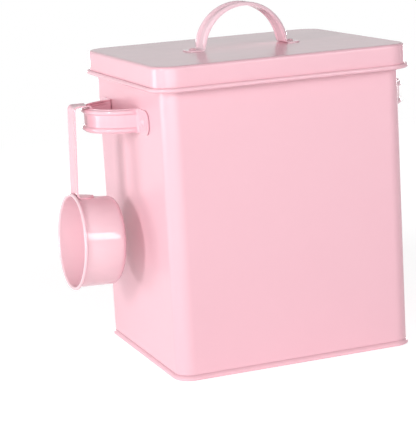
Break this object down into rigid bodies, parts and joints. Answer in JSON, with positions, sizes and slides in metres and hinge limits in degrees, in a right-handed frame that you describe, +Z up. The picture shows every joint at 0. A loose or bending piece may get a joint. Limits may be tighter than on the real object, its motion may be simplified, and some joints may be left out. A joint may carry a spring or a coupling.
{
  "type": "pet food storage container",
  "caption": "Rectangular sheet-metal dry food tin with a lift-off lid, a riveted strap handle on the lid and on each side, and a scoop that hangs from one side handle.",
  "frame": {"origin": "on the floor, at the centre of the tin's base; the underside of the base's folded seam is at Z = 0", "axes": "+Z up, -Y the front, -X the side that the scoop hangs on"},
  "size_m": [0.2734, 0.18, 0.2641],
  "materials": {
    "tin_enamel": "gloss powder coat",
    "handle_enamel": "gloss powder coat",
    "rivet_enamel": "gloss powder coat",
    "scoop_enamel": "gloss powder coat"
  },
  "bodies": {
    "bin": {"body_wall": "tin_enamel", "base_panel": "tin_enamel", "left_handle": "handle_enamel", "left_handle_rivet_front": "rivet_enamel", "left_handle_rivet_rear": "rivet_enamel", "right_handle": "handle_enamel", "right_handle_rivet_front": "rivet_enamel", "right_handle_rivet_rear": "rivet_enamel"},
    "lid": {"lid_pan": "tin_enamel", "lid_handle": "handle_enamel", "lid_rivet_left": "rivet_enamel", "lid_rivet_right": "rivet_enamel"},
    "scoop": {"scoop_cup": "scoop_enamel", "scoop_handle": "scoop_enamel"}
  },
  "joints": [
    {"name": "lid_lift", "type": "slide", "parent": "bin", "child": "lid", "axis": [0, 0, 1], "range_m": [0, 0.06]},
    {"name": "scoop_lift", "type": "slide", "parent": "bin", "child": "scoop", "axis": [0, 0, 1], "range_m": [0, 0.03]}
  ]
}
